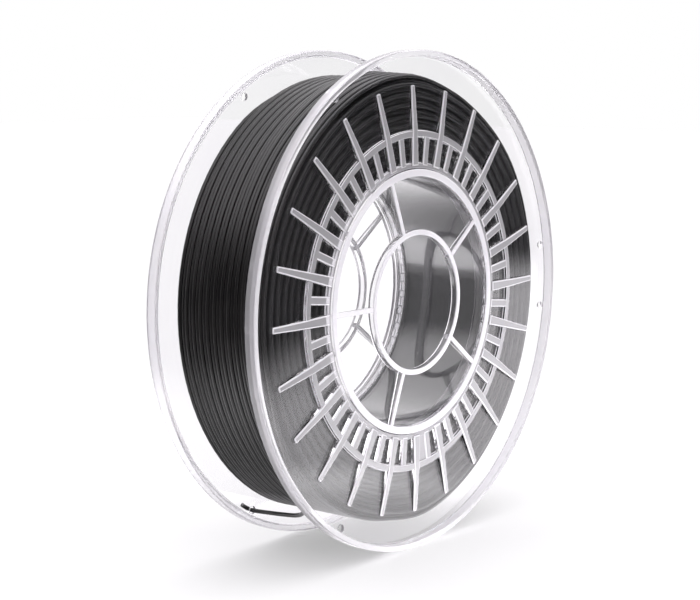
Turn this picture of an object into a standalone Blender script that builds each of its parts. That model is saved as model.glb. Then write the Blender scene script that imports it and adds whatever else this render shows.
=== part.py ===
"""A clear plastic spool wound with black filament, modelled as it is assembled.

Everything is in metres.  The spool stands upright on its two rims: the origin is
its centre, +Z is up and its axis lies along Y, with the front flange at -Y.
A depth is measured inwards from the outer face of the flange on that side.
An angle runs in the XZ plane, from +X towards +Z.
"""

from math import cos, pi, radians, sin

import bmesh
import bpy
from mathutils import Matrix, Vector, kdtree

# Overall sizes
SPOOL_WIDTH = 0.054
FLANGE_RADIUS = 0.100
CLEARANCE = 0.0003

# Flanges: a thin web with a deep rim, a ring rib, long ribs and short bars
RIM_DEPTH = 0.0048
RIM_WALL = 0.0024
RIM_CHAMFER = 0.0003
WEB_THICKNESS = 0.0012
COLLAR_WALL = 0.0021
COLLAR_RELIEF = 0.0026
RING_RADIUS = 0.0684
RING_WALL = 0.0026
RING_RELIEF = 0.0022
RIB_COUNT = 24
RIB_PHASE = radians(1.0)
RIB_WALL = 0.0044
RIB_TIP_WALL = 0.0026
RIB_TIP_INSET = 0.0138
RIB_RELIEF = 0.0019
RIB_TIP_HEIGHT = 0.0006
RIB_ROOT = 0.0005
BAR_WALL = 0.0036
BAR_RELIEF = 0.0024
KEY_BAY = 18
KEY_RELIEF = 0.0029

# Holes near the rim that hold the end of the filament
TIE_HOLE_INSET = 0.0045
TIE_HOLE_DIAMETER = 0.0034
TIE_HOLE_ANGLES = (radians(9.3), radians(-6.9), radians(121.0), radians(-119.0))
TAIL_HOLE_ANGLE = TIE_HOLE_ANGLES[3]

# Drum, and the spoked hubs that plug its two ends
DRUM_RADIUS = 0.0532
DRUM_WALL = 0.0018
HUB_RECESS = 0.0020
HUB_DEPTH = 0.0023
HUB_WALL = 0.0030
SPIGOT_LENGTH = 0.0040
BORE_RECESS = 0.0010
BORE_RADIUS = 0.0270
BORE_WALL = 0.0022
SPOKE_COUNT = 5
SPOKE_PHASE = radians(36.0)
SPOKE_WALL = 0.0020
SPOKE_RELIEF = 0.0003

# Filament: a core whose flanks show the ends of its layers as ridges, and the outer
# layer of turns that runs off into the tail
FILAMENT_DIAMETER = 0.00175
WINDING_INSET = 0.0112
LAYERS_PER_RIDGE = 2
RIDGE_DEPTH = 0.0008
OUTER_TURNS = 18.25
POINTS_PER_TURN = 24
START_DIP = 0.0019
START_RAMP = radians(25.0)
RAMP_POINTS = 5
TAIL_LEAVES = radians(-168.0)
TAIL_FRONT_GAP = 0.0006

# The tail's route, by angle from its hole, share of the climb from the winding to
# the hole's radius, and share of the way across from the last turn to the hole.
TAIL_ROUTE = (
    (radians(-37.0), 0.14, -0.001),
    (radians(-27.0), 0.38, 0.008),
    (radians(-18.0), 0.58, 0.050),
    (radians(-10.0), 0.72, 0.140),
    (radians(-4.5), 0.80, 0.267),
    (radians(-1.8), 0.86, 0.405),
    (radians(-0.8), 0.91, 0.571),
    (radians(-0.2), 0.96, 0.774),
    (radians(0.0), 1.00, 0.944),
    (radians(-0.1), 1.00, 1.016),
    (radians(-1.3), 0.98, 1.050),
    (radians(-2.6), 0.95, 1.058),
)
TAIL_STEP = 0.0035

# Smoothness of the turned pieces.  A flange's facets are wide enough for the spool
# to stand still on the one that faces straight down.
FLANGE_SEGMENTS = 32
LATHE_SEGMENTS = 72
CORE_SEGMENTS = 60
BORE_SEGMENTS = 48
HOLE_SEGMENTS = 16
SMOOTH_ANGLE = radians(30.0)

# What follows from the sizes above
FRONT, REAR = -1, 1
WEB_DEPTH = RIM_DEPTH - WEB_THICKNESS
HALF_SPACE = SPOOL_WIDTH / 2 - RIM_DEPTH
FLANGE_BORE = DRUM_RADIUS + CLEARANCE
RIB_START = FLANGE_BORE + COLLAR_WALL / 2
RIB_REACH = FLANGE_RADIUS - RIB_TIP_INSET
TIE_HOLE_RADIUS = FLANGE_RADIUS - TIE_HOLE_INSET
HUB_BACK = HUB_RECESS + HUB_DEPTH
LOOP_RADIUS = FLANGE_RADIUS - WINDING_INSET - FILAMENT_DIAMETER / 2


def remove_everything():
    """Start from an empty scene."""
    for item in list(bpy.data.objects):
        bpy.data.objects.remove(item, do_unlink=True)


def make_material(name, colour, roughness, transmission=0.0):
    """A Principled BSDF with the piece's colour, roughness and clearness."""
    material = bpy.data.materials.new(name)
    material.use_nodes = True
    shader = material.node_tree.nodes["Principled BSDF"]
    shader.inputs["Base Color"].default_value = (*colour, 1.0)
    shader.inputs["Metallic"].default_value = 0.0
    shader.inputs["Roughness"].default_value = roughness
    shader.inputs["Transmission Weight"].default_value = transmission
    material.diffuse_color = (*colour, 1.0 - 0.6 * transmission)
    return material


def add_object(name, data, material=None):
    """Put a mesh or a curve in the scene under its piece's name."""
    item = bpy.data.objects.new(name, data)
    bpy.context.scene.collection.objects.link(item)
    if material is not None:
        item.data.materials.append(material)
    return item


def add_piece(name, shape, material):
    """Turn a finished bmesh into a piece, shaded smooth over its round faces."""
    mesh = bpy.data.meshes.new(name)
    bmesh.ops.recalc_face_normals(shape, faces=shape.faces)
    shape.to_mesh(mesh)
    shape.free()
    mesh.shade_smooth()
    mesh.set_sharp_from_angle(angle=SMOOTH_ANGLE)
    return add_object(name, mesh, material)


def add_tool(name, shape):
    """Turn a bmesh into a guide that only shapes another piece."""
    tool = add_piece(name, shape, None)
    tool.hide_render = True
    tool.display_type = "WIRE"
    return tool


def shape_with(piece, tool, operation):
    """Add or cut a tool's shape on a piece."""
    modifier = piece.modifiers.new(f"{operation.lower()} {tool.name}", "BOOLEAN")
    modifier.operation = operation
    modifier.solver = "EXACT"
    modifier.object = tool


def turned(outline, segments):
    """Spin a closed outline of (radius, y) points around the spool's axis.

    The facets touch the stated radii, and one of them faces straight down.
    """
    half_step = pi / segments
    shape = bmesh.new()
    ring = []
    for radius, y in outline:
        corner = radius / cos(half_step)
        ring.append(shape.verts.new((corner * cos(half_step), y, corner * sin(half_step))))
    edges = [shape.edges.new((ring[i - 1], ring[i])) for i in range(len(ring))]
    bmesh.ops.spin(shape, geom=ring + edges, cent=(0, 0, 0), axis=(0, 1, 0),
                   dvec=(0, 0, 0), angle=2 * pi, steps=segments,
                   use_merge=True, use_duplicate=False)
    return shape


def add_wedge(shape, outline, angle, width):
    """Spin a closed outline of (radius, y) points through the angle of one bay."""
    corners = [shape.verts.new(on_circle(radius, angle, y)) for radius, y in outline]
    face = shape.faces.new(corners)
    bmesh.ops.spin(shape, geom=[*corners, *face.edges, face], cent=(0, 0, 0),
                   axis=(0, -1, 0), dvec=(0, 0, 0), angle=width, steps=2,
                   use_merge=False, use_duplicate=False)


def add_radial_plate(shape, outline, wall, angle, tip_wall=None):
    """Add a plate that stands along a radius, from its (radius, y) outline.

    It has one wall all along, or thins evenly from its wall to its tip wall.
    """
    start = min(radius for radius, _ in outline)
    reach = max(radius for radius, _ in outline) - start
    thinning = 0.0 if tip_wall is None else (wall - tip_wall) / reach
    corners = [shape.verts.new((radius, y, (thinning * (radius - start) - wall) / 2))
               for radius, y in outline]
    face = shape.faces.new(corners)
    grown = bmesh.ops.extrude_face_region(shape, geom=[face])["geom"]
    new_corners = [item for item in grown if isinstance(item, bmesh.types.BMVert)]
    for corner in new_corners:
        corner.co.z = -corner.co.z
    bmesh.ops.rotate(shape, verts=corners + new_corners, cent=(0, 0, 0),
                     matrix=Matrix.Rotation(-angle, 3, "Y"))


def at_depth(outline, side):
    """Change an outline of (radius, depth) points to (radius, y) on one side."""
    return [(radius, side * (SPOOL_WIDTH / 2 - depth)) for radius, depth in outline]


def on_circle(radius, angle, y):
    """The point at a radius and angle around the spool's axis."""
    return Vector((radius * cos(angle), y, radius * sin(angle)))


def make_flange(name, side, material):
    """One flange: web, collar, ring and rim, turned, with ribs, bars and holes."""
    collar_radius = FLANGE_BORE + COLLAR_WALL
    ring_inside = RING_RADIUS - RING_WALL
    rim_inside = FLANGE_RADIUS - RIM_WALL
    shape = turned(at_depth((
        (FLANGE_BORE, RIM_DEPTH),
        (FLANGE_BORE, COLLAR_RELIEF),
        (collar_radius, COLLAR_RELIEF),
        (collar_radius, WEB_DEPTH),
        (ring_inside, WEB_DEPTH),
        (ring_inside, RING_RELIEF),
        (RING_RADIUS, RING_RELIEF),
        (RING_RADIUS, WEB_DEPTH),
        (rim_inside, WEB_DEPTH),
        (rim_inside, 0.0),
        (FLANGE_RADIUS - RIM_CHAMFER, 0.0),
        (FLANGE_RADIUS, RIM_CHAMFER),
        (FLANGE_RADIUS, RIM_DEPTH - RIM_CHAMFER),
        (FLANGE_RADIUS - RIM_CHAMFER, RIM_DEPTH)), side), FLANGE_SEGMENTS)
    flange = add_piece(name, shape, material)
    shape_with(flange, make_ribs(f"{name} ribs", side), "UNION")
    shape_with(flange, make_key(f"{name} key", side), "UNION")
    shape_with(flange, make_tie_holes(f"{name} holes", side), "DIFFERENCE")
    return flange


def make_ribs(name, side):
    """The long ribs, which thin out to their tips, and a short bar between each two."""
    root = WEB_DEPTH + RIB_ROOT
    rib = at_depth((
        (RIB_START, root),
        (RIB_START, RIB_RELIEF),
        (RING_RADIUS, RIB_RELIEF),
        (RIB_REACH, WEB_DEPTH - RIB_TIP_HEIGHT),
        (RIB_REACH, root)), side)
    into_ring = RING_RADIUS - RING_WALL / 2
    bar = at_depth((
        (RIB_START, root),
        (RIB_START, BAR_RELIEF),
        (into_ring, BAR_RELIEF),
        (into_ring, root)), side)
    pitch = 2 * pi / RIB_COUNT
    shape = bmesh.new()
    for number in range(RIB_COUNT):
        add_radial_plate(shape, rib, RIB_WALL, RIB_PHASE + number * pitch, RIB_TIP_WALL)
        add_radial_plate(shape, bar, BAR_WALL, RIB_PHASE + (number + 0.5) * pitch)
    return add_tool(name, shape)


def make_key(name, side):
    """The block that fills one bay between a rib and a bar."""
    into_collar = FLANGE_BORE + COLLAR_WALL / 3
    into_ring = RING_RADIUS - RING_WALL / 3
    root = WEB_DEPTH + RIB_ROOT / 2
    block = at_depth((
        (into_collar, root),
        (into_collar, KEY_RELIEF),
        (into_ring, KEY_RELIEF),
        (into_ring, root)), side)
    pitch = 2 * pi / RIB_COUNT
    shape = bmesh.new()
    add_wedge(shape, block, RIB_PHASE + KEY_BAY * pitch, pitch / 2)
    return add_tool(name, shape)


def make_tie_holes(name, side):
    """Round cutters for the holes near the rim."""
    shape = bmesh.new()
    for angle in TIE_HOLE_ANGLES:
        middle = on_circle(TIE_HOLE_RADIUS, angle, side * (SPOOL_WIDTH / 2 - RIM_DEPTH))
        bmesh.ops.create_cone(
            shape, cap_ends=True, segments=HOLE_SEGMENTS,
            radius1=TIE_HOLE_DIAMETER / 2, radius2=TIE_HOLE_DIAMETER / 2,
            depth=4 * WEB_THICKNESS,
            matrix=Matrix.Translation(middle) @ Matrix.Rotation(pi / 2, 4, "X"))
    return add_tool(name, shape)


def make_hub(name, side, material):
    """One hub: a ring with a spigot for the drum, spokes, and the ring of the bore."""
    hub_inside = DRUM_RADIUS - HUB_WALL
    spigot_radius = DRUM_RADIUS - DRUM_WALL - CLEARANCE
    ring = turned(at_depth((
        (hub_inside, HUB_RECESS),
        (DRUM_RADIUS, HUB_RECESS),
        (DRUM_RADIUS, HUB_BACK),
        (spigot_radius, HUB_BACK),
        (spigot_radius, HUB_BACK + SPIGOT_LENGTH),
        (hub_inside, HUB_BACK + SPIGOT_LENGTH)), side), LATHE_SEGMENTS)
    hub = add_piece(name, ring, material)

    bore = turned(at_depth((
        (BORE_RADIUS, BORE_RECESS),
        (BORE_RADIUS + BORE_WALL, BORE_RECESS),
        (BORE_RADIUS + BORE_WALL, HUB_BACK),
        (BORE_RADIUS, HUB_BACK)), side), BORE_SEGMENTS)

    spoke = at_depth((
        (BORE_RADIUS + BORE_WALL / 2, BORE_RECESS + SPOKE_RELIEF),
        (hub_inside + (spigot_radius - hub_inside) / 2, HUB_RECESS + SPOKE_RELIEF),
        (hub_inside + (spigot_radius - hub_inside) / 2, HUB_BACK - SPOKE_RELIEF),
        (BORE_RADIUS + BORE_WALL / 2, HUB_BACK - SPOKE_RELIEF)), side)
    spokes = bmesh.new()
    for number in range(SPOKE_COUNT):
        add_radial_plate(spokes, spoke, SPOKE_WALL,
                         SPOKE_PHASE + number * 2 * pi / SPOKE_COUNT)

    shape_with(hub, add_tool(f"{name} spokes", spokes), "UNION")
    shape_with(hub, add_tool(f"{name} bore", bore), "UNION")
    return hub


def make_drum(name, material):
    """The clear tube that the filament is wound on, between the two hub rings."""
    end = SPOOL_WIDTH / 2 - HUB_BACK - CLEARANCE
    shape = turned((
        (DRUM_RADIUS - DRUM_WALL, -end),
        (DRUM_RADIUS, -end),
        (DRUM_RADIUS, end),
        (DRUM_RADIUS - DRUM_WALL, end)), LATHE_SEGMENTS)
    return add_piece(name, shape, material)


def filament_route():
    """The outer layer's centre line: dip at its start, turns, then the tail."""
    first_y = HALF_SPACE - CLEARANCE - FILAMENT_DIAMETER / 2
    last_y = -first_y + TAIL_FRONT_GAP
    turn_angle = OUTER_TURNS * 2 * pi
    first_angle = TAIL_LEAVES - turn_angle

    def on_winding(turned_by):
        ramp = min(turned_by / START_RAMP, 1.0)
        dip = START_DIP * (1.0 - ramp * ramp * (3.0 - 2.0 * ramp))
        y = first_y + (last_y - first_y) * turned_by / turn_angle
        return on_circle(LOOP_RADIUS - dip, first_angle + turned_by, y)

    turn_steps = round((turn_angle - START_RAMP) * POINTS_PER_TURN / (2 * pi))
    step = (turn_angle - START_RAMP) / turn_steps
    points = [on_winding(number * START_RAMP / RAMP_POINTS) for number in range(RAMP_POINTS)]
    points += [on_winding(START_RAMP + number * step) for number in range(turn_steps)]

    # A first stretch of one diameter runs straight.
    points.insert(0, points[0] + (points[0] - points[1]).normalized() * FILAMENT_DIAMETER)

    climb = TIE_HOLE_RADIUS - LOOP_RADIUS
    width = HALF_SPACE + WEB_THICKNESS / 2 - last_y
    knots = [points[-1], on_winding(turn_angle)]
    knots += [on_circle(LOOP_RADIUS + up * climb, TAIL_HOLE_ANGLE + angle,
                        last_y + across * width)
              for angle, up, across in TAIL_ROUTE]
    return points + smooth_through(knots, TAIL_STEP)


def smooth_through(knots, step):
    """Points about one step apart on a Catmull-Rom curve, from the second knot on."""
    padded = [*knots, 2 * knots[-1] - knots[-2]]
    points = []
    for before, start, end, after in zip(padded, padded[1:], padded[2:], padded[3:]):
        parts = max(1, round((end - start).length / step))
        for part in range(parts):
            t = part / parts
            points.append(0.5 * (2 * start + (end - before) * t
                                 + (2 * before - 5 * start + 4 * end - after) * t ** 2
                                 + (3 * start - before - 3 * end + after) * t ** 3))
    return [*points, knots[-1]]


def least_gap(points, diameter):
    """The least gap from the tube to itself, measured on points along its line."""
    spacing = diameter / 4
    samples = []
    for start, end in zip(points, points[1:]):
        parts = max(1, round((end - start).length / spacing))
        samples += [start.lerp(end, part / parts) for part in range(parts)]
    tree = kdtree.KDTree(len(samples))
    for number, sample in enumerate(samples):
        tree.insert(sample, number)
    tree.balance()
    apart = round(4 * diameter / spacing)
    nearest = min(distance for number, sample in enumerate(samples)
                  for _, other, distance in tree.find_range(sample, 3 * diameter)
                  if abs(other - number) > apart)
    return nearest - diameter


def make_strand(name, points, diameter, material):
    """A round strand along its centre line."""
    curve = bpy.data.curves.new(name, "CURVE")
    curve.dimensions = "3D"
    curve.bevel_depth = diameter / 2
    curve.bevel_resolution = 1
    curve.use_fill_caps = True
    spline = curve.splines.new("POLY")
    spline.points.add(len(points) - 1)
    for place, point in zip(spline.points, points):
        place.co = (*point, 1.0)
    return add_object(name, curve, material)


def ridged_flank(inner, outer, crest):
    """Half of the core's outline, from the drum out: a ridge for each few layers."""
    ridges = round((outer - inner) / (LAYERS_PER_RIDGE * FILAMENT_DIAMETER))
    step = (outer - inner) / (2 * ridges)
    return [(inner + number * step, crest - (0.0 if number % 2 else RIDGE_DEPTH))
            for number in range(2 * ridges + 1)]


def make_core(name, route, material):
    """The filament under the outer layer, with a pocket where that layer starts."""
    flat_radius = LOOP_RADIUS * cos(pi / POINTS_PER_TURN) - FILAMENT_DIAMETER / 2
    core_radius = (flat_radius - CLEARANCE) * cos(pi / CORE_SEGMENTS)
    flank = ridged_flank(DRUM_RADIUS + CLEARANCE, core_radius, HALF_SPACE - CLEARANCE)
    other_flank = [(radius, -y) for radius, y in reversed(flank)]
    core = add_piece(name, turned(flank + other_flank, CORE_SEGMENTS), material)

    # The pocket follows the strand up its ramp, and runs on a little past its end.
    beyond = (route[0] - route[1]).normalized() * CLEARANCE
    ramp = [route[0] + beyond, *route[1:RAMP_POINTS + 2]]
    strand = make_strand(f"{name} ramp", ramp, FILAMENT_DIAMETER + 2 * CLEARANCE, None)
    pocket = bmesh.new()
    pocket.from_mesh(strand.to_mesh())
    bpy.data.objects.remove(strand, do_unlink=True)
    bmesh.ops.remove_doubles(pocket, verts=pocket.verts, dist=1e-6)
    shape_with(core, add_tool(f"{name} pocket", pocket), "DIFFERENCE")
    return core


def main():
    """Build the spool."""
    remove_everything()
    clear = make_material("clear plastic", (0.86, 0.86, 0.90), 0.08, 0.9)
    black = make_material("black filament", (0.018, 0.018, 0.020), 0.38)

    make_flange("front_flange", FRONT, clear)
    make_flange("rear_flange", REAR, clear)
    make_hub("front_hub", FRONT, clear)
    make_hub("rear_hub", REAR, clear)
    make_drum("drum", clear)

    route = filament_route()
    gap = least_gap(route, FILAMENT_DIAMETER)
    length = sum((end - start).length for start, end in zip(route, route[1:]))
    print(f"outer layer: {length:.2f} m of filament, least gap to itself {gap * 1000:.2f} mm")
    make_core("filament_core", route, black)
    make_strand("filament_outer_turns", route, FILAMENT_DIAMETER, black)


if __name__ == "__main__":
    main()
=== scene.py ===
"""A clear plastic spool wound with black filament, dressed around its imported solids.

Everything is in metres, in the frame of the solids: the origin is the spool's centre,
its axis lies along Y with the front flange at -Y, and +Z is up.  A depth is measured
inwards from the outer face of the flange on that side, and an angle runs in the XZ
plane, from +X towards +Z.
"""

from __future__ import annotations

import logging
from collections.abc import Callable, Iterable, Sequence
from dataclasses import dataclass
from enum import Enum
from math import atan2, ceil, copysign, cos, hypot, pi, radians, sin, sqrt

import bmesh
import bpy
from bmesh.types import BMEdge, BMesh, BMFace, BMVert
from bpy.types import ID, Material, Mesh, Node, NodeSocket, NodeTree, Object, World
from mathutils import Matrix, Vector, noise

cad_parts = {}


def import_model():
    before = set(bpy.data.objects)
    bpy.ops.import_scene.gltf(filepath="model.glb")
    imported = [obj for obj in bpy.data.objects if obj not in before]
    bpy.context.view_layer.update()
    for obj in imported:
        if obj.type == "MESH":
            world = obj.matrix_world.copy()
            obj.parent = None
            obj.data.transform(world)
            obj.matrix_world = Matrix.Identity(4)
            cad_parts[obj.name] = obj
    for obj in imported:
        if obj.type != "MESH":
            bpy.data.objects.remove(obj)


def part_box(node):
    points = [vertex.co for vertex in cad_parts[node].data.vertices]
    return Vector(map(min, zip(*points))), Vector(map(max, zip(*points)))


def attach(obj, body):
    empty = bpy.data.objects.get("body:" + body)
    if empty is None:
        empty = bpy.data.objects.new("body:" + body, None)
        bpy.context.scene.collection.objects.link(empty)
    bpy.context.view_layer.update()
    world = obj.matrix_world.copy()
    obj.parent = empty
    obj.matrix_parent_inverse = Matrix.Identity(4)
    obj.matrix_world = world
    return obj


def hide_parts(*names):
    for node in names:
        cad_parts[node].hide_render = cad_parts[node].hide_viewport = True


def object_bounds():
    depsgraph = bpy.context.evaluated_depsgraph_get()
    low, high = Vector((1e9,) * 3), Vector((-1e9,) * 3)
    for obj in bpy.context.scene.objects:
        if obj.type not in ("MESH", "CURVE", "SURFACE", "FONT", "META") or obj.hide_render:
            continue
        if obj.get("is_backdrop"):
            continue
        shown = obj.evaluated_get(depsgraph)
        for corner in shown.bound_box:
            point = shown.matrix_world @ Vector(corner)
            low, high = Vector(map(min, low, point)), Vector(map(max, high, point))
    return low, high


Pair = tuple[float, float]
Triple = tuple[float, float, float]

LOG = logging.getLogger("spool")
BODY = "root"
PHOTO_WIDTH = 700
FULL_TURN = 2 * pi
SHARP_ANGLE = radians(20.0)
CORNER_STEPS = 3
NEAR = 0.00005
POLISH_ROUGHNESS = 0.03
PLASTIC_IOR = 1.5
ROUGHNESS_REACH = (0.3, 0.7)

# How far a face's normal points along the axis on a flat top, and on an outward face.
FLAT_TOP = 0.96
OUTWARD = 0.25

# A ray's depths are whole numbers, so this tells none from one or more.
ANY_BOUNCE = 0.5

BOUNCES = {"max_bounces": 24, "transmission_bounces": 20, "glossy_bounces": 8,
           "diffuse_bounces": 4}


class Side(Enum):
    """Which end of the spool a piece is at.  The value is the sign of its Y."""

    FRONT = -1
    REAR = 1


class Zone(Enum):
    """Which finish a moulding's face has.  The value is its material slot."""

    CLEAR = 0
    SATIN = 1
    HAZY = 2


class Slot(Enum):
    """The record's material slots."""

    PLASTIC = "clear_plastic"
    FILAMENT = "filament"


# ---- node materials


@dataclass(frozen=True)
class Pattern:
    """A noise pattern: how fine it is, and how many finer octaves it has."""

    scale: float
    detail: float


@dataclass
class NodeSketch:
    """A short way to add and join shader nodes in one tree.

    Args:
        tree: the node tree that the nodes go into.
    """

    tree: NodeTree

    def feed(self, target: NodeSocket, source: object) -> None:
        """Give an input socket a link from an output socket, or a number or a tuple."""
        if isinstance(source, NodeSocket):
            self.tree.links.new(source, target)
        else:
            target.default_value = source

    def add(self, kind: str, inputs: dict[str | int, object] | None = None,
            **settings: object) -> Node:
        """Add a node.

        Args:
            kind: the node's type name.
            inputs: what feeds its input sockets, by their name or place.
            settings: properties of the node.

        Returns:
            The new node.
        """
        node = self.tree.nodes.new(kind)
        for name, value in settings.items():
            setattr(node, name, value)
        for place, source in (inputs or {}).items():
            self.feed(node.inputs[place], source)
        return node

    def math(self, operation: str, *values: object) -> NodeSocket:
        """Join numbers with a Math node and return its result."""
        node = self.add("ShaderNodeMath", dict(enumerate(values)), operation=operation)
        return node.outputs[0]

    def vector(self, operation: str, output: str, *values: object) -> NodeSocket:
        """Join vectors with a Vector Math node and return the output of that name."""
        node = self.add("ShaderNodeVectorMath", dict(enumerate(values)), operation=operation)
        return node.outputs[output]

    def spread(self, value: object, low: float, high: float, to_low: float, to_high: float
               ) -> NodeSocket:
        """Map a number smoothly from one range to another, clamped at both ends."""
        ends = {"From Min": low, "From Max": high, "To Min": to_low, "To Max": to_high}
        return self.add("ShaderNodeMapRange", {"Value": value, **ends},
                        interpolation_type="SMOOTHSTEP").outputs["Result"]

    def mottle(self, where: object, pattern: Pattern) -> NodeSocket:
        """A noise pattern's number at a place, about 0 to 1."""
        return self.add("ShaderNodeTexNoise", {"Vector": where, "Scale": pattern.scale,
                                               "Detail": pattern.detail}).outputs["Fac"]

    def blend(self, share: object, first: object, second: object) -> NodeSocket:
        """Mix two colours, where the share is how much of the second one shows."""
        return self.add("ShaderNodeMix", {0: share, 6: first, 7: second},
                        data_type="RGBA").outputs[2]

    def relief(self, height: object, strength: float, distance: float) -> NodeSocket:
        """Turn a height into a bumped normal, where the distance is a height of 1."""
        return self.add("ShaderNodeBump", {"Strength": strength, "Distance": distance,
                                           "Height": height}).outputs["Normal"]


def sketch_in(owner: Material | World) -> NodeSketch:
    """Turn on the nodes of a material or a world and sketch in them."""
    owner.use_nodes = True
    return NodeSketch(owner.node_tree)


def opaque(colour: Triple) -> tuple[float, float, float, float]:
    """A colour with full alpha."""
    return (*colour, 1.0)


@dataclass(frozen=True)
class Finish:
    """A plastic's finish, with the patterns of a clear injection moulding.

    Args:
        name: the material's name.
        colour: its own colour.
        tint: its colour where its flow is denser or its surface duller.
        roughness: the least and greatest roughness.
        transmission: the share of light that goes through.
        specular: the strength of its surface reflection.
        polish: the strength of a second, sharper reflection.
        flow: the broad pattern that tint and roughness follow.
        tint_reach: where in that pattern the tint starts and is full.
        grain: the fine pattern of the surface.
        grain_strength: how strongly the grain shows.
        grain_height: how deep the grain is.
    """

    name: str
    colour: Triple
    tint: Triple
    roughness: Pair
    transmission: float = 0.0
    specular: float = 0.5
    polish: float = 0.0
    flow: Pattern = Pattern(34.0, 3.0)
    tint_reach: Pair = (0.35, 0.65)
    grain: Pattern = Pattern(900.0, 2.0)
    grain_strength: float = 0.5
    grain_height: float = 0.00002

    def material(self) -> Material:
        """Make the finish's material.

        Returns:
            The new material.
        """
        material = bpy.data.materials.new(self.name)
        sketch = sketch_in(material)
        shader = material.node_tree.nodes["Principled BSDF"]
        where = sketch.add("ShaderNodeTexCoord").outputs["Object"]
        flow = sketch.mottle(where, self.flow)
        grain = sketch.mottle(where, self.grain)
        tinted = sketch.spread(flow, *self.tint_reach, 0.0, 1.0)
        sketch.feed(shader.inputs["Base Color"],
                    sketch.blend(tinted, opaque(self.colour), opaque(self.tint)))
        sketch.feed(shader.inputs["Roughness"],
                    sketch.spread(flow, *ROUGHNESS_REACH, *self.roughness))
        sketch.feed(shader.inputs["Normal"],
                    sketch.relief(grain, self.grain_strength, self.grain_height))
        shader.inputs["Transmission Weight"].default_value = self.transmission
        shader.inputs["Specular IOR Level"].default_value = self.specular
        shader.inputs["Coat Weight"].default_value = self.polish
        shader.inputs["Coat Roughness"].default_value = POLISH_ROUGHNESS
        shader.inputs["IOR"].default_value = PLASTIC_IOR
        return material


@dataclass(frozen=True)
class FilamentFinish(Finish):
    """Extruded filament: near black and satin, with fine drawing marks."""

    flow: Pattern = Pattern(55.0, 4.0)
    tint_reach: Pair = (0.4, 0.7)
    grain: Pattern = Pattern(2600.0, 3.0)
    grain_strength: float = 0.2
    grain_height: float = 0.00003


CLEAR = Finish("clear moulded plastic", (0.985, 0.980, 0.990), (0.970, 0.962, 0.980),
               (0.0, 0.02), transmission=1.0, grain_height=0.000002)
SATIN = Finish("satin moulded plastic", (0.97, 0.955, 0.985), (0.93, 0.91, 0.955),
               (0.18, 0.28), transmission=0.22)
HAZY = Finish("hazy moulded plastic", (0.975, 0.962, 0.985), (0.95, 0.935, 0.97),
              (0.06, 0.14), transmission=0.66, grain_height=0.000002)
TUBE = Finish("clear extruded tube", (0.965, 0.955, 0.975), (0.93, 0.92, 0.95),
              (0.03, 0.07), transmission=0.98, specular=0.9, polish=0.4,
              grain_height=0.000004)
STRAND = FilamentFinish("wound filament", (0.0060, 0.0055, 0.0056),
                        (0.010, 0.0090, 0.0092), (0.28, 0.38))
FLANK = FilamentFinish("filament in its layers", (0.008, 0.008, 0.009),
                       (0.015, 0.0145, 0.017), (0.32, 0.46), specular=0.45)


# ---- mesh making


@dataclass(frozen=True)
class Corner:
    """A corner of a turned outline.

    Args:
        radius: its distance from the spool's axis.
        depth: its depth behind the outer face of its flange.
        rounding: the radius that the corner is rounded to.
    """

    radius: float
    depth: float
    rounding: float = 0.0


def on_circle(radius: float, angle: float, y: float) -> Vector:
    """The point at a radius and angle around the spool's axis."""
    return Vector((radius * cos(angle), y, radius * sin(angle)))


def turned(corners: Sequence[Corner], to_y: Callable[[float], float], segments: int) -> BMesh:
    """Round an outline's corners, then spin it once around the spool's axis.

    Args:
        corners: the outline's corners, in order.
        to_y: turns a corner's depth into its Y.
        segments: the number of steps around.

    Returns:
        A closed ring-shaped mesh.
    """
    shape = bmesh.new()
    points = [shape.verts.new((corner.radius, to_y(corner.depth), 0.0)) for corner in corners]
    shape.faces.new(points)
    by_rounding: dict[float, list[BMVert]] = {}
    for corner, point in zip(corners, points):
        if corner.rounding > 0.0:
            by_rounding.setdefault(corner.rounding, []).append(point)
    for rounding, group in by_rounding.items():
        bmesh.ops.bevel(shape, geom=group, offset=rounding, affect="VERTICES",
                        segments=CORNER_STEPS, profile=0.5, material=-1)
    bmesh.ops.delete(shape, geom=list(shape.faces), context="FACES_ONLY")
    spin_full(shape, segments)
    return shape


def plain_ring(radii: Pair, depths: Pair, rounding: float) -> tuple[Corner, ...]:
    """The outline of a plain ring between two radii and two depths."""
    inner, outer = radii
    start, end = depths
    return (Corner(inner, start, rounding), Corner(outer, start, rounding),
            Corner(outer, end, rounding), Corner(inner, end, rounding))


def spin_full(shape: BMesh, segments: int) -> None:
    """Spin everything in a mesh once around the spool's axis and close it.

    Args:
        shape: the mesh that holds the outline.
        segments: the number of steps around.
    """
    bmesh.ops.spin(shape, geom=[*shape.verts, *shape.edges], axis=(0, 1, 0),
                   angle=FULL_TURN, steps=segments, use_merge=True)
    bmesh.ops.recalc_face_normals(shape, faces=shape.faces)


def link_object(name: str, data: ID) -> Object:
    """Make an object of its data and link it into the scene."""
    item = bpy.data.objects.new(name, data)
    bpy.context.scene.collection.objects.link(item)
    return item


def add_object(name: str, mesh: Mesh, materials: Iterable[Material]) -> Object:
    """Put a mesh in the scene with its materials.

    Args:
        name: the object's name.
        mesh: its mesh.
        materials: its materials, in the order of its slots.

    Returns:
        The new object.
    """
    for material in materials:
        mesh.materials.append(material)
    return link_object(name, mesh)


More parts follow.
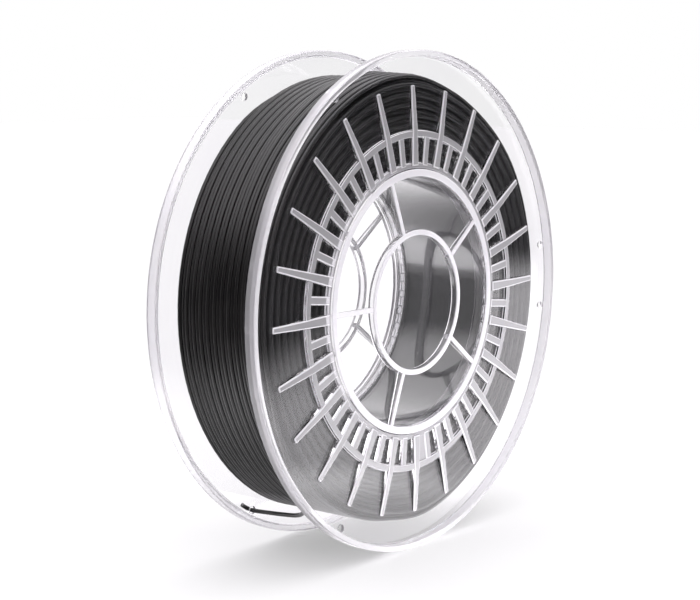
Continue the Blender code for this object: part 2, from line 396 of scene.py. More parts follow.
def to_mesh(name: str, shape: BMesh) -> Mesh:
    """Finish a bmesh as a mesh with its faces pointing out.

    Args:
        name: the mesh's name.
        shape: the bmesh, which is freed.

    Returns:
        The new mesh.
    """
    bmesh.ops.recalc_face_normals(shape, faces=shape.faces)
    closed = all(edge.is_manifold for edge in shape.edges)
    if closed and shape.calc_volume(signed=True) < 0.0:
        bmesh.ops.reverse_faces(shape, faces=shape.faces)
    mesh = bpy.data.meshes.new(name)
    shape.to_mesh(mesh)
    shape.free()
    return mesh


def evaluated_mesh(item: Object, name: str) -> Mesh:
    """An object's shape with its modifiers, as a mesh of its own.

    Args:
        item: the object.
        name: the new mesh's name.

    Returns:
        The new mesh.
    """
    bpy.context.view_layer.update()
    depsgraph = bpy.context.evaluated_depsgraph_get()
    mesh = bpy.data.meshes.new_from_object(item.evaluated_get(depsgraph))
    mesh.name = name
    return mesh


def combine(body: Object, tool_name: str, shape: BMesh, operation: str) -> None:
    """Union a shape with a piece, or cut it out of the piece, and apply the result.

    Args:
        body: the piece, whose mesh is replaced.
        tool_name: a name for the shape.
        shape: the shape, which is freed.
        operation: UNION or DIFFERENCE.
    """
    tool = add_object(tool_name, to_mesh(tool_name, shape), body.data.materials)
    modifier = body.modifiers.new(tool_name, "BOOLEAN")
    modifier.operation = operation
    modifier.solver = "EXACT"
    modifier.object = tool
    old_mesh, tool_mesh = body.data, tool.data
    body.data = evaluated_mesh(body, old_mesh.name)
    body.modifiers.clear()
    bpy.data.objects.remove(tool, do_unlink=True)
    for mesh in (old_mesh, tool_mesh):
        bpy.data.meshes.remove(mesh)


def extrude_faces(shape: BMesh, faces: list[BMFace]) -> tuple[list[BMVert], list[BMFace]]:
    """Extrude faces as one region and leave the new ones in place.

    Args:
        shape: the mesh.
        faces: the faces.

    Returns:
        The points and the faces of the region's far side.
    """
    grown = bmesh.ops.extrude_face_region(shape, geom=faces)["geom"]
    points = [item for item in grown if isinstance(item, BMVert)]
    return points, [item for item in grown if isinstance(item, BMFace)]


def round_and_turn(shape: BMesh, points: Iterable[BMVert], edges: Iterable[BMEdge],
                   rounding: float, steps: int, angle: float) -> None:
    """Round some edges of a bar in a mesh, then turn the bar to its place.

    Args:
        shape: the mesh.
        points: all the bar's points.
        edges: the edges to round, each named once or twice.
        rounding: the radius that they are rounded to.
        steps: the number of steps of the rounding.
        angle: how far the bar is turned around the spool's axis.
    """
    result = bmesh.ops.bevel(shape, geom=list(dict.fromkeys(edges)), offset=rounding,
                             affect="EDGES", segments=steps, profile=0.5, material=-1,
                             clamp_overlap=True)
    left = dict.fromkeys([point for point in points if point.is_valid] + result["verts"])
    bmesh.ops.rotate(shape, verts=list(left), matrix=Matrix.Rotation(-angle, 3, "Y"))


def finish_piece(item: Object, slot: Slot, *nodes: str, sharp: float = SHARP_ANGLE) -> None:
    """Shade a piece, tie it to the body and let it stand for its solids.

    Args:
        item: the piece.
        slot: the record's material slot of its finish; a plastic piece gets even shading.
        nodes: the solids that it stands for.
        sharp: the angle past which an edge stays sharp.
    """
    item.data.shade_smooth()
    item.data.set_sharp_from_angle(angle=sharp)
    if slot is Slot.PLASTIC:
        even = item.modifiers.new("even shading", "WEIGHTED_NORMAL")
        even.keep_sharp = True
    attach(item, BODY)
    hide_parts(*nodes)
    LOG.info("%s: %d faces, stands for %s", item.name, len(item.data.polygons),
             ", ".join(nodes))


# ---- the spool's mouldings


@dataclass
class Moulding:
    """What a flange and a hub share: the side that they are at.

    Args:
        side: which end of the spool it is at.
        half_width: half the spool's width over its two rims.
    """

    side: Side
    half_width: float

    @property
    def label(self) -> str:
        """The side's name, as the solids' names start."""
        return self.side.name.lower()

    def to_y(self, depth: float) -> float:
        """The Y of a depth behind the outer face of the rim."""
        return self.side.value * (self.half_width - depth)


@dataclass
class Flange(Moulding):
    """A ring-shaped plate with a deep rim, a ring, long ribs and short bars."""

    radius: float = 0.100
    bore: float = 0.0535
    rim_depth: float = 0.0048
    rim_wall: float = 0.0024
    rim_rounding: float = 0.0006
    web: float = 0.0012
    collar_wall: float = 0.0021
    collar_relief: float = 0.0026
    ring_radius: float = 0.0684
    ring_wall: float = 0.0026
    ring_relief: float = 0.0022
    fillet: float = 0.0004
    rib_count: int = 24
    rib_phase: float = radians(1.0)
    rib_wall: float = 0.0044
    rib_tip_wall: float = 0.0026
    rib_lean: float = 0.0002
    rib_reach: float = 0.0862
    rib_relief: float = 0.0019
    rib_tip_height: float = 0.0006
    rib_rounding: float = 0.00045
    rounding_steps: int = 2
    root: float = 0.0005
    bar_wall: float = 0.0036
    bar_relief: float = 0.0024
    key_bay: int = 18
    key_relief: float = 0.0029
    key_steps: int = 6
    hole_radius: float = 0.0955
    hole_diameter: float = 0.0034
    hole_angles: tuple[float, ...] = (radians(9.3), radians(-6.9), radians(121.0),
                                      radians(-119.0))
    hole_segments: int = 32
    segments: int = 192

    @property
    def web_depth(self) -> float:
        """How deep the web's outer face lies behind the rim's."""
        return self.rim_depth - self.web

    @property
    def pitch(self) -> float:
        """The angle from one long rib to the next."""
        return FULL_TURN / self.rib_count

    def plate(self) -> BMesh:
        """The web with its collar, ring and rim, turned.

        Returns:
            The turned plate.
        """
        collar = self.bore + self.collar_wall
        ring_inside = self.ring_radius - self.ring_wall
        rim_inside = self.radius - self.rim_wall
        deep, fillet = self.web_depth, self.fillet
        shape = turned((
            Corner(self.bore, self.rim_depth, fillet / 2),
            Corner(self.bore, self.collar_relief, fillet),
            Corner(collar, self.collar_relief, fillet),
            Corner(collar, deep, fillet),
            Corner(ring_inside, deep, fillet),
            Corner(ring_inside, self.ring_relief, fillet),
            Corner(self.ring_radius, self.ring_relief, fillet),
            Corner(self.ring_radius, deep, fillet),
            Corner(rim_inside, deep, self.rim_rounding),
            Corner(rim_inside, 0.0, self.rim_rounding),
            Corner(self.radius, 0.0, self.rim_rounding),
            Corner(self.radius, self.rim_depth, self.rim_rounding)),
            self.to_y, self.segments)
        for face in shape.faces:
            middle = face.calc_center_median()
            radius = hypot(middle.x, middle.z)
            proud = self.side.value * (middle.y - self.to_y(deep)) > fillet / 4
            if radius > rim_inside - fillet / 4:
                face.material_index = Zone.HAZY.value
            elif proud and radius < self.ring_radius + fillet:
                face.material_index = zone_of(face.normal).value
        return shape

    def add_rib(self, shape: BMesh, stations: Sequence[Pair], walls: Pair, angle: float
                ) -> None:
        """Add one drafted rib with rounded edges, from its stations along a radius.

        Args:
            shape: the mesh that the rib is added to.
            stations: the radius and the depth of the rib's crest, from the collar out.
            walls: the rib's thickness at its first and at its last station.
            angle: where the rib stands.
        """
        base_y = self.to_y(self.web_depth + self.root)
        start, outer = stations[0][0], stations[-1][0]
        thinning = (walls[0] - walls[1]) / (outer - start)
        rows = []
        for radius, _ in stations:
            half = (walls[0] - thinning * (radius - start)) / 2
            rows.append([shape.verts.new((radius, base_y, z)) for z in (-half, half)])
        faces = [shape.faces.new((low[0], high[0], high[1], low[1]))
                 for low, high in zip(rows, rows[1:])]
        crest, top_faces = extrude_faces(shape, faces)
        depths = {round(radius, 6): depth for radius, depth in stations}
        for point in crest:
            point.co.y = self.to_y(depths[round(point.co.x, 6)])
            point.co.z -= copysign(self.rib_lean, point.co.z)
        edges = [edge for face in top_faces for edge in face.edges
                 if len([near for near in edge.link_faces if near in top_faces]) == 1]
        edges += [edge for point in crest if abs(point.co.x - outer) < NEAR
                  for edge in point.link_edges if edge.other_vert(point) not in crest]
        round_and_turn(shape, [point for row in rows for point in row] + crest, edges,
                       self.rib_rounding, self.rounding_steps, angle)

    def ribs(self) -> BMesh:
        """All long ribs and short bars of the flange.

        Returns:
            The ribs, as separate closed shapes in one mesh.
        """
        start = self.bore + self.collar_wall / 2
        long_rib = ((start, self.rib_relief),
                    (self.ring_radius, self.rib_relief),
                    (self.rib_reach, self.web_depth - self.rib_tip_height))
        bar = ((start, self.bar_relief),
               (self.ring_radius - self.ring_wall / 2, self.bar_relief))
        shape = bmesh.new()
        for number in range(self.rib_count):
            angle = self.rib_phase + number * self.pitch
            self.add_rib(shape, long_rib, (self.rib_wall, self.rib_tip_wall), angle)
            self.add_rib(shape, bar, (self.bar_wall, self.bar_wall), angle + self.pitch / 2)
        return zoned(shape)

    def key(self) -> BMesh:
        """The block that fills one bay between a rib and a bar.

        Returns:
            The block.
        """
        inner = self.bore + self.collar_wall / 3
        outer = self.ring_radius - self.ring_wall / 3
        root = self.web_depth + self.root / 2
        angle = self.rib_phase + self.key_bay * self.pitch
        shape = bmesh.new()
        corners = [shape.verts.new(on_circle(radius, angle, self.to_y(depth)))
                   for radius, depth in ((inner, root), (inner, self.key_relief),
                                         (outer, self.key_relief), (outer, root))]
        face = shape.faces.new(corners)
        bmesh.ops.spin(shape, geom=[*corners, *face.edges, face], axis=(0, -1, 0),
                       angle=self.pitch / 2, steps=self.key_steps)
        return zoned(shape)

    def holes(self) -> BMesh:
        """Round cutters for the small holes near the rim.

        Returns:
            The cutters.
        """
        shape = bmesh.new()
        web_middle = self.side.value * (self.half_width - self.rim_depth + self.web / 2)
        for angle in self.hole_angles:
            place = Matrix.Translation(on_circle(self.hole_radius, angle, web_middle))
            bmesh.ops.create_cone(shape, cap_ends=True, segments=self.hole_segments,
                                  radius1=self.hole_diameter / 2,
                                  radius2=self.hole_diameter / 2, depth=3 * self.web,
                                  matrix=place @ Matrix.Rotation(pi / 2, 4, "X"))
        for face in shape.faces:
            face.material_index = Zone.HAZY.value
        return shape

    def build(self, materials: Sequence[Material]) -> None:
        """Build the flange as a single moulding.

        Args:
            materials: the clear, the satin and the hazy plastic.
        """
        name = f"{self.label}_flange_moulding"
        piece = add_object(name, to_mesh(name, self.plate()), materials)
        combine(piece, f"{name}_ribs", self.ribs(), "UNION")
        combine(piece, f"{name}_key", self.key(), "UNION")
        combine(piece, f"{name}_holes", self.holes(), "DIFFERENCE")
        finish_piece(piece, Slot.PLASTIC, f"{self.label}_flange")


def zone_of(normal: Vector) -> Zone:
    """The finish of a raised face: hazy tops, satin edges and clear side walls."""
    level = abs(normal.y)
    if level > FLAT_TOP:
        return Zone.HAZY
    return Zone.SATIN if level > OUTWARD else Zone.CLEAR


def zoned(shape: BMesh) -> BMesh:
    """Give each face of a raised shape its finish.

    Args:
        shape: the shape.

    Returns:
        The same shape.
    """
    bmesh.ops.recalc_face_normals(shape, faces=shape.faces)
    for face in shape.faces:
        face.material_index = zone_of(face.normal).value
    return shape


@dataclass
class Hub(Moulding):
    """The ring that plugs the drum's end, with spokes to the ring of the bore."""

    radius: float = 0.0532
    wall: float = 0.0030
    recess: float = 0.0020
    depth: float = 0.0023
    spigot: float = 0.0040
    drum_wall: float = 0.0018
    clearance: float = 0.0003
    bore_recess: float = 0.0010
    bore_radius: float = 0.0270
    bore_wall: float = 0.0022
    rounding: float = 0.0005
    spoke_count: int = 5
    spoke_phase: float = radians(36.0)
    spoke_wall: float = 0.0020
    spoke_relief: float = 0.0003
    spoke_rounding: float = 0.0004
    rounding_steps: int = 3
    segments: int = 144

    @property
    def back(self) -> float:
        """How deep the hub's flat back lies."""
        return self.recess + self.depth

    @property
    def inside(self) -> float:
        """The inner radius of the hub's outer ring."""
        return self.radius - self.wall

    @property
    def spigot_radius(self) -> float:
        """The outer radius of the part that sits inside the drum."""
        return self.radius - self.drum_wall - self.clearance

    def ring(self) -> BMesh:
        """The outer ring with its spigot.

        Returns:
            The turned ring.
        """
        small = self.rounding / 2
        return turned((
            Corner(self.inside, self.recess, self.rounding),
            Corner(self.radius, self.recess, self.rounding),
            Corner(self.radius, self.back, small),
            Corner(self.spigot_radius, self.back, small),
            Corner(self.spigot_radius, self.back + self.spigot, small),
            Corner(self.inside, self.back + self.spigot, small)),
            self.to_y, self.segments)

    def bore(self) -> BMesh:
        """The ring round the bore.

        Returns:
            The turned ring.
        """
        radii = (self.bore_radius, self.bore_radius + self.bore_wall)
        outline = plain_ring(radii, (self.bore_recess, self.back), self.rounding)
        return turned(outline, self.to_y, self.segments)

    def spokes(self) -> BMesh:
        """The spokes, each a bar with rounded long edges.

        Returns:
            The spokes, as separate closed shapes in one mesh.
        """
        inner = self.bore_radius + self.bore_wall / 2
        outer = (self.inside + self.spigot_radius) / 2
        outline = ((inner, self.bore_recess + self.spoke_relief),
                   (outer, self.recess + self.spoke_relief),
                   (outer, self.back - self.spoke_relief),
                   (inner, self.back - self.spoke_relief))
        shape = bmesh.new()
        for number in range(self.spoke_count):
            near = [shape.verts.new((radius, self.to_y(depth), -self.spoke_wall / 2))
                    for radius, depth in outline]
            far, _ = extrude_faces(shape, [shape.faces.new(near)])
            bmesh.ops.translate(shape, verts=far, vec=(0, 0, self.spoke_wall))
            points = near + far
            long_edges = [edge for point in points for edge in point.link_edges
                          if abs(edge.verts[0].co.x - edge.verts[1].co.x) > self.wall]
            round_and_turn(shape, points, long_edges, self.spoke_rounding,
                           self.rounding_steps,
                           self.spoke_phase + number * FULL_TURN / self.spoke_count)
        return shape

    def build(self, materials: Sequence[Material]) -> None:
        """Build the hub as a single moulding, satin where it faces outwards.

        Args:
            materials: the clear, the satin and the hazy plastic.
        """
        name = f"{self.label}_hub_moulding"
        piece = add_object(name, to_mesh(name, self.ring()), materials)
        combine(piece, f"{name}_spokes", self.spokes(), "UNION")
        combine(piece, f"{name}_bore", self.bore(), "UNION")
        for face in piece.data.polygons:
            outward = self.side.value * face.normal.y > OUTWARD
            face.material_index = Zone.SATIN.value if outward else Zone.CLEAR.value
        finish_piece(piece, Slot.PLASTIC, f"{self.label}_hub")


@dataclass
class Drum:
    """The tube that the filament is wound on."""

    radius: float
    end: float
    wall: float = 0.0018
    rounding: float = 0.0004
    segments: int = 144

    def build(self, material: Material) -> None:
        """Build the drum.

        Args:
            material: its plastic.
        """
        outline = plain_ring((self.radius - self.wall, self.radius),
                             (-self.end, self.end), self.rounding)
        mesh = to_mesh("drum_tube", turned(outline, lambda y: y, self.segments))
        finish_piece(add_object("drum_tube", mesh, [material]), Slot.PLASTIC, "drum")


# ---- the filament


@dataclass
class Winding:
    """The black filament: its outer layer with the tail, and the layers beneath."""

    flange_radius: float
    half_space: float
    drum_radius: float
    hole_radius: float
    hole_angle: float
    web: float
    diameter: float = 0.00175
    inset: float = 0.0112
    clearance: float = 0.0003
    turns: float = 23.25
    points_per_turn: int = 96
    strand_sides: int = 3
    start_dip: float = 0.0019
    start_ramp: float = radians(25.0)
    weld: float = 0.0000035
    strand_sharp: float = radians(60.0)
    tail_leaves: float = radians(-168.0)
    tail_front_gap: float = 0.0006
    tail_step: float = 0.0012
    pair_rise: float = 0.00036
    wander: float = 0.00007
    wander_scale: float = 1.7
    hump: float = 0.0028
    hump_rise: Pair = (radians(70.0), radians(92.0))
    hump_side: Pair = (radians(92.0), radians(130.0))
    hump_fall: Pair = (radians(130.0), radians(215.0))
    side_share: float = 0.32
    rear_share: float = 0.28
    front_share: float = 0.55
    bulge: float = 0.0024
    bulge_start: Pair = (radians(-100.0), radians(-80.0))
    bulge_end: Pair = (radians(30.0), radians(62.0))
    step_y: Pair = (-0.0005, -0.0026)
    step_angles: Pair = (radians(112.0), radians(165.0))
    layers_per_ridge: int = 2
    ring_points: int = 5
    ring_curve: float = 1.96
    ring_relief: float = 0.0008
    ridge_depth: float = 0.0012
    flank_wander: float = 0.00022
    flank_scale: Pair = (2.2, 0.9)
    flank_sharp: float = radians(50.0)
    buried_share: float = 0.9
    across_steps: int = 48
    segments: int = 180
    seed: float = 7.0

    # The tail's route, by angle from its hole, share of the climb from the winding to
    # the hole's radius, and share of the way across from the last turn to the hole.
    tail_route: tuple[Triple, ...] = (
        (radians(-37.0), 0.14, -0.001),
        (radians(-27.0), 0.38, 0.008),
        (radians(-18.0), 0.58, 0.050),
        (radians(-10.0), 0.72, 0.140),
        (radians(-4.5), 0.80, 0.267),
        (radians(-1.8), 0.86, 0.405),
        (radians(-0.8), 0.91, 0.571),
        (radians(-0.2), 0.96, 0.774),
        (radians(0.0), 1.00, 0.944),
        (radians(-0.1), 1.00, 1.016),
        (radians(-1.3), 0.98, 1.050),
        (radians(-2.6), 0.95, 1.058),
    )

    @property
    def loop_radius(self) -> float:
        """The radius of the outer layer's centre line."""
        return self.flange_radius - self.inset - self.diameter / 2

    def lift(self, angle: float, y: float) -> float:
        """How far the turns bulge over the top and at the right, most in the front half.

        Args:
            angle: the place around the spool.
            y: the place along its axis.

        Returns:
            The rise above the even winding.
        """
        angle %= FULL_TURN
        beyond = angle if angle < pi else angle - FULL_TURN
        bulge = (self.bulge * eased(beyond, *self.bulge_start)
                 * (1.0 - eased(beyond, *self.bulge_end)) * (1.0 - ease(y / self.half_space)))
        start, end = self.step_angles
        along = (angle - start) / (end - start)
        step = self.step_y[0] + (self.step_y[1] - self.step_y[0]) * along
        front = ease((step - y) / self.diameter + 0.5)
        depth = (step - y) / (step + self.half_space)
        ahead = 1.0 - (1.0 - self.front_share) * min(max(depth, 0.0), 1.0)
        side = (1.0 - self.side_share) * eased(angle, *self.hump_side)
        peak = (self.hump * eased(angle, *self.hump_rise) * (1.0 - side)
                * (1.0 - eased(angle, *self.hump_fall)))
        return bulge + peak * (self.rear_share + (ahead - self.rear_share) * front)

    def route(self) -> list[Vector]:
        """The outer layer's centre line: its start, its turns, then the tail.

        Returns:
            The points along it.
        """
        first_y = self.half_space - self.clearance - self.diameter / 2
        last_y = -first_y + self.tail_front_gap
        turn_angle = self.turns * FULL_TURN
        first_angle = self.tail_leaves - turn_angle

        def on_winding(turned_by: float) -> Vector:
            dip = self.start_dip * (1.0 - ease(turned_by / self.start_ramp))
            left = min((turn_angle - turned_by) / FULL_TURN, 1.0)
            rise = self.pair_rise * left * (0.5 + 0.5 * cos(turned_by / 2.0))
            angle = first_angle + turned_by
            here = on_circle(1.0, angle, turned_by / FULL_TURN) * self.wander_scale
            drift = self.wander * left * noise.noise(here + Vector((self.seed, 0, 0)))
            slide = self.wander * left * noise.noise(here + Vector((0, 0, self.seed)))
            y = first_y + (last_y - first_y) * turned_by / turn_angle
            rise += self.lift(angle, y)
            return on_circle(self.loop_radius - dip + rise + drift, angle, y + slide)

        steps = ceil(self.turns * self.points_per_turn)
        points = [on_winding(turn_angle * number / steps) for number in range(steps)]
        climb = self.hole_radius - self.loop_radius
        width = self.half_space + self.web / 2 - last_y
        knots = [points[-1], on_winding(turn_angle)]
        knots += [on_circle(self.loop_radius + up * climb, self.hole_angle + angle,
                            last_y + across * width)
                  for angle, up, across in self.tail_route]
        return points + smooth_through(knots, self.tail_step)

    def build_strand(self, material: Material) -> None:
        """Build the outer layer and the tail as one unbroken tube.

        Args:
            material: the filament.
        """
        name = "filament_strand"
        points = self.route()
        curve = bpy.data.curves.new(f"{name}_line", "CURVE")
        curve.dimensions = "3D"
        curve.bevel_depth = self.diameter / 2
        curve.bevel_resolution = self.strand_sides
        curve.use_fill_caps = True
        spline = curve.splines.new("POLY")
        spline.points.add(len(points) - 1)
        for place, point in zip(spline.points, points):
            place.co = (*point, 1.0)
        line = link_object(f"{name}_line", curve)
        mesh = evaluated_mesh(line, name)
        bpy.data.objects.remove(line, do_unlink=True)
        bpy.data.curves.remove(curve)
        shape = bmesh.new()
        shape.from_mesh(mesh)
        bpy.data.meshes.remove(mesh)
        bmesh.ops.remove_doubles(shape, verts=shape.verts, dist=self.weld)
        piece = add_object(name, to_mesh(name, shape), [material])
        length = sum((end - start).length for start, end in zip(points, points[1:]))
        LOG.info("%s: %.2f m in %.2f turns and the tail", name, length, self.turns)
        finish_piece(piece, Slot.FILAMENT, "filament_outer_turns", sharp=self.strand_sharp)

    def flank_outline(self) -> list[Pair]:
        """Half of the layers' outline: the ends of the buried turns on one side.

        Returns:
            The radius and the Y of each point, from the drum out, at +Y.
        """
        inner = self.drum_radius + self.clearance
        outer = self.loop_radius - self.diameter / 2 - self.clearance
        face = self.half_space - self.clearance
        ridges = round((outer - inner) / (self.layers_per_ridge * self.diameter))
        pitch = (outer - inner) / (2 * ridges)
        points: list[Pair] = []
        for number in range(2 * ridges + 1):
            crest = number % 2 == 1
            for step in range(self.ring_points):
                share = (step + 0.5) / self.ring_points - 0.5
                radius = inner + (number + share) * pitch
                if not inner <= radius <= outer:
                    continue
                bulge = sqrt(1.0 - (share * self.ring_curve) ** 2)
                drop = 0.0 if crest else self.ridge_depth
                points.append((radius, face - drop - self.ring_relief * (1.0 - bulge)))
        return points

    def build_layers(self, material: Material) -> None:
        """Build the buried layers, whose turns show at both flanks.

        Args:
            material: the filament.
        """
        name = "filament_layers"
        flank = self.flank_outline()
        inner, outer = flank[0][0], flank[-1][0]
        middle = (inner + outer) / 2
        across = [(outer, self.half_space * (1.0 - 2.0 * step / self.across_steps))
                  for step in range(1, self.across_steps)]
        outline = flank + across + [(radius, -y) for radius, y in reversed(flank)]
        shape = bmesh.new()
        ring = [shape.verts.new((radius, y, 0.0)) for radius, y in outline]
        for start, end in zip(ring, [*ring[1:], ring[0]]):
            shape.edges.new((start, end))
        spin_full(shape, self.segments)
        around, by_layer = self.flank_scale
        for point in shape.verts:
            radius = hypot(point.co.x, point.co.z)
            angle = atan2(point.co.z, point.co.x)
            layer = round(radius / self.diameter)
            here = on_circle(around, angle, layer * by_layer) + Vector((0, 0, self.seed))
            rise = self.buried_share * self.lift(angle, point.co.y)
            grown = 1.0 + rise * ease((radius - middle) / (outer - middle)) / radius
            depth = self.flank_wander * (0.5 + 0.5 * noise.noise(here))
            y = point.co.y - copysign(depth, point.co.y)
            point.co = (point.co.x * grown, y, point.co.z * grown)
        piece = add_object(name, to_mesh(name, shape), [material])
        finish_piece(piece, Slot.FILAMENT, "filament_core", sharp=self.flank_sharp)


def ease(share: float) -> float:
    """A share from 0 to 1 that starts and ends gently, clamped at both ends."""
    share = min(max(share, 0.0), 1.0)
    return share * share * (3.0 - 2.0 * share)


def eased(value: float, start: float, end: float) -> float:
    """How far a value has come from a start to an end, eased as a share."""
    return ease((value - start) / (end - start))


def smooth_through(knots: Sequence[Vector], step: float) -> list[Vector]:
    """Read points from a smooth curve through knots, from the second knot on.

    Args:
        knots: the points that the curve goes through.
        step: about how far apart the points are.

    Returns:
        The points, the last knot included.
    """
    padded = [*knots, 2 * knots[-1] - knots[-2]]
    points = []
    for before, start, end, after in zip(padded, padded[1:], padded[2:], padded[3:]):
        parts = max(1, round((end - start).length / step))
        for part in range(parts):
            t = part / parts
            points.append(0.5 * (2 * start + (end - before) * t
                                 + (2 * before - 5 * start + 4 * end - after) * t ** 2
                                 + (3 * start - before - 3 * end + after) * t ** 3))
    return [*points, knots[-1]]


# ---- studio and camera


@dataclass
class Studio:
    """A white room with a pale table, and the light that it gives.

    Args:
        table_height: the Z that the spool stands on.
    """

    table_height: float
    table_size: float = 8.0
    table_steps: int = 4
    white_wall: Triple = (0.78, 0.62, 0.0)
    wall_edge: Pair = (0.26, 0.62)
    front_lamp: Triple = (0.10, -0.86, 0.50)
    lamp_edge: Pair = (0.60, 0.92)
    lamp_level: float = 0.7
    horizon: float = 0.03
    inner_glow: float = 0.85
    dark_side: Triple = (0.78, -0.62, -0.12)
    dark_edge: Pair = (0.70, 0.90)
    ceiling: float = 2.4
    ceiling_edge: Pair = (0.34, 0.66)
    # Painted light on the table, seen only by reflected and bounced rays: a pool of light
    # ahead of the spool, fading far away.
    painted_pool_near: float = 2.05
    painted_pool_far: float = 0.10
    glow_towards: Triple = (0.454, 0.891, 0.0)
    glow_front: Pair = (-0.205, -0.125)
    glow_left: Pair = (-0.35, -0.05)
    glow_reach: Pair = (0.80, 1.20)
    # A painted shadow in the table's glow round the spool's foot, where its own shadow would
    # fall.
    painted_foot_shadow: Pair = (0.117, 0.180)
    painted_foot_shadow_level: float = 0.3
    # Painted bright patches of light on the table, seen in the spool's reflections.
    painted_patches: tuple[tuple[Triple, float], ...] = (
        ((0.02, -0.08, -0.10), 2.2), ((-0.10, 0.15, -0.10), 3.0))
    painted_patch_reach: Pair = (0.04, 0.11)
    table_grey: Pair = (0.44, 0.36)
    grey_reach: Pair = (0.20, 0.50)
    table_lift: float = 0.38
    lamp_tint: Triple = (0.99, 0.97, 1.0)

    def seen_directly(self, sketch: NodeSketch, direction: NodeSocket) -> NodeSocket:
        """1 for what the eye sees straight or through clear plastic, else 0.

        Light that a moulding has turned round inside itself counts in part, except
        from the room's dark side.

        Args:
            sketch: the tree that the nodes go into.
            direction: the direction that the light comes from.

        Returns:
            The number's socket.
        """
        path = sketch.add("ShaderNodeLightPath").outputs
        no_diffuse = sketch.math("LESS_THAN", path["Diffuse Depth"], ANY_BOUNCE)
        turned_round = sketch.math("GREATER_THAN", path["Glossy Depth"], ANY_BOUNCE)
        towards = sketch.vector("DOT_PRODUCT", "Value", direction, self.dark_side)
        lost = sketch.spread(towards, *self.dark_edge, self.inner_glow - 1.0, -1.0)
        clean = sketch.math("MULTIPLY_ADD", turned_round, lost, 1.0)
        clear = sketch.math("MULTIPLY", clean, no_diffuse)
        through = sketch.math("MULTIPLY", path["Is Transmission Ray"], clear)
        return sketch.math("MAXIMUM", path["Is Camera Ray"], through)

    def build_world(self) -> None:
        """Make the room: white behind the spool and overhead, with a lamp in front."""
        world = bpy.data.worlds.new("studio")
        bpy.context.scene.world = world
        sketch = sketch_in(world)
        sketch.tree.nodes.clear()
        direction = sketch.add("ShaderNodeTexCoord").outputs["Generated"]
        height = sketch.add("ShaderNodeSeparateXYZ", {0: direction}).outputs["Z"]
        overhead = sketch.spread(height, *self.ceiling_edge, self.horizon, self.ceiling)
        towards = sketch.vector("DOT_PRODUCT", "Value", direction, self.white_wall)
        wall = sketch.spread(towards, *self.wall_edge, 0.0, 1.0)
        facing = sketch.vector("DOT_PRODUCT", "Value", direction, self.front_lamp)
        lamp = sketch.spread(facing, *self.lamp_edge, 0.0, self.lamp_level)
        room = sketch.math("MAXIMUM", sketch.math("MAXIMUM", overhead, wall), lamp)
        seen = self.seen_directly(sketch, direction)
        tinted = sketch.blend(seen, opaque(self.lamp_tint), opaque((1.0, 1.0, 1.0)))
        level = sketch.add("ShaderNodeMix", {0: seen, 2: room, 3: 1.0}, data_type="FLOAT")
        background = sketch.add("ShaderNodeBackground",
                                {"Color": tinted, "Strength": level.outputs[0]})
        sketch.add("ShaderNodeOutputWorld", {"Surface": background.outputs[0]})

    def table_material(self) -> Material:
        """Make the table's material: white to the eye, keeping the spool's shadow.

        Returns:
            The new material.
        """
        material = bpy.data.materials.new("pale table")
        sketch = sketch_in(material)
        sketch.tree.nodes.clear()
        where = sketch.add("ShaderNodeTexCoord").outputs["Object"]
        aside = sketch.add("ShaderNodeSeparateXYZ", {0: where}).outputs["X"]
        ahead = sketch.vector("DOT_PRODUCT", "Value", where, self.glow_towards)
        distance = sketch.vector("LENGTH", "Value", where)
        # A painted pool of light on the table, darkened round the spool's foot as a painted
        # shadow.
        lit = sketch.spread(aside, *self.glow_left, 0.0, 1.0)
        for shade in (sketch.spread(ahead, *self.glow_front, 0.0, 1.0),
                      sketch.spread(distance, *self.glow_reach, 1.0, 0.0),
                      sketch.spread(distance, *self.painted_foot_shadow, self.painted_foot_shadow_level, 1.0)):
            lit = sketch.math("MULTIPLY", lit, shade)
        level = sketch.math("MULTIPLY_ADD", lit, self.painted_pool_near, self.painted_pool_far)
        # Painted bright patches added to the painted pool of light.
        for middle, painted_patch_level in self.painted_patches:
            away = sketch.vector("DISTANCE", "Value", where, middle)
            painted_patch = sketch.spread(away, *self.painted_patch_reach, painted_patch_level, 0.0)
            level = sketch.math("ADD", level, painted_patch)
        glow = sketch.add("ShaderNodeEmission",
                          {"Color": opaque(self.lamp_tint), "Strength": level})
        grey = sketch.spread(distance, *self.grey_reach, *self.table_grey)
        matt = sketch.add("ShaderNodeBsdfDiffuse", {"Color": grey})
        lift = sketch.add("ShaderNodeEmission", {"Strength": self.table_lift})
        shown = sketch.add("ShaderNodeAddShader", {0: matt.outputs[0], 1: lift.outputs[0]})
        seen = self.seen_directly(sketch, sketch.vector("NORMALIZE", "Vector", where))
        mixed = sketch.add("ShaderNodeMixShader",
                           {0: seen, 1: glow.outputs[0], 2: shown.outputs[0]})
        sketch.add("ShaderNodeOutputMaterial", {"Surface": mixed.outputs[0]})
        return material

    def build_table(self) -> None:
        """Build the table's top, which isn't part of the spool."""
        shape = bmesh.new()
        bmesh.ops.create_grid(shape, x_segments=self.table_steps,
                              y_segments=self.table_steps, size=self.table_size / 2,
                              matrix=Matrix.Translation((0, 0, self.table_height)))
        table = add_object("table", to_mesh("table", shape), [self.table_material()])
        table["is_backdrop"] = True


@dataclass
class Camera:
    """The camera at the photograph's viewing angle."""

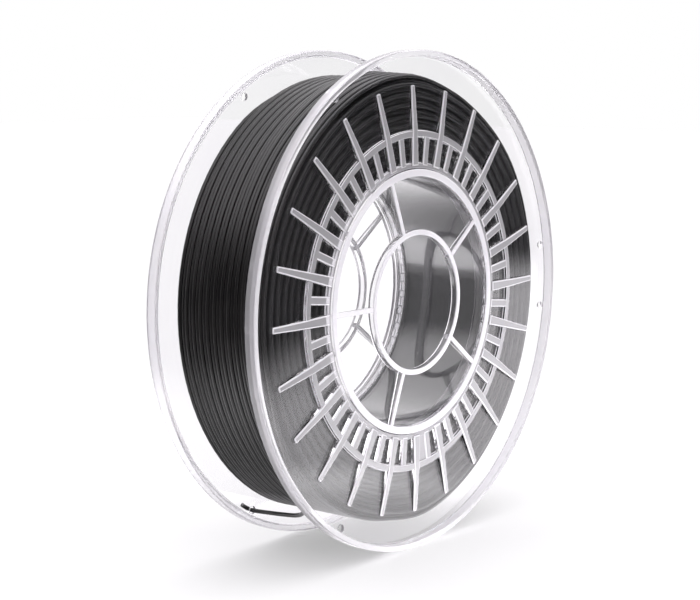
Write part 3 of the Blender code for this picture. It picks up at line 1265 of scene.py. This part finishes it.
    azimuth: float = radians(-51.53)
    elevation: float = radians(7.73)
    distance: float = 0.712
    focal_pixels: float = 1742.0
    sensor: float = 36.0
    aside: float = 0.00704
    above: float = 0.00121

    def build(self) -> None:
        """Make the camera and use it."""
        flat = cos(self.elevation)
        back = Vector((sin(self.azimuth) * flat, -cos(self.azimuth) * flat,
                       sin(self.elevation)))
        right = Vector((cos(self.azimuth), sin(self.azimuth), 0.0))
        up = back.cross(right)
        data = bpy.data.cameras.new("camera")
        data.sensor_width = self.sensor
        data.lens = self.focal_pixels / PHOTO_WIDTH * self.sensor
        data.clip_start = self.distance / 100
        camera = link_object("camera", data)
        turn = Matrix((right, up, back)).transposed().to_4x4()
        place = back * self.distance - right * self.aside - up * self.above
        camera.matrix_world = Matrix.Translation(place) @ turn
        bpy.context.scene.camera = camera


# ---- assembly


@dataclass
class Spool:
    """The whole spool, with its sizes read from the solids."""

    clearance: float = 0.0003

    def build(self) -> None:
        """Build each sub-assembly in order."""
        flange_low, flange_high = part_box("front_flange")
        drum_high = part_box("drum")[1]
        half_width = -flange_low.y
        plastics = (CLEAR.material(), SATIN.material(), HAZY.material())
        for side in Side:
            flange = Flange(side, half_width, radius=flange_high.z,
                            rim_depth=flange_high.y - flange_low.y,
                            bore=drum_high.z + self.clearance)
            flange.build(plastics)
            hub = Hub(side, half_width, radius=drum_high.z, clearance=self.clearance)
            hub.build(plastics)
        Drum(drum_high.z, drum_high.y).build(TUBE.material())
        winding = Winding(flange.radius, half_width - flange.rim_depth, drum_high.z,
                          flange.hole_radius, flange.hole_angles[-1], flange.web,
                          clearance=self.clearance)
        winding.build_layers(FLANK.material())
        winding.build_strand(STRAND.material())


def main() -> None:
    """Load the solids, dress them and set up the studio."""
    logging.basicConfig(level=logging.INFO, format="%(name)s: %(message)s")
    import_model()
    solid_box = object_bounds()
    Camera().build()
    Spool().build()
    studio = Studio(table_height=solid_box[0].z)
    studio.build_world()
    studio.build_table()
    scene = bpy.context.scene
    scene.view_settings.view_transform = "Standard"
    for name, count in BOUNCES.items():
        setattr(scene.cycles, name, count)


if __name__ == "__main__":
    main()
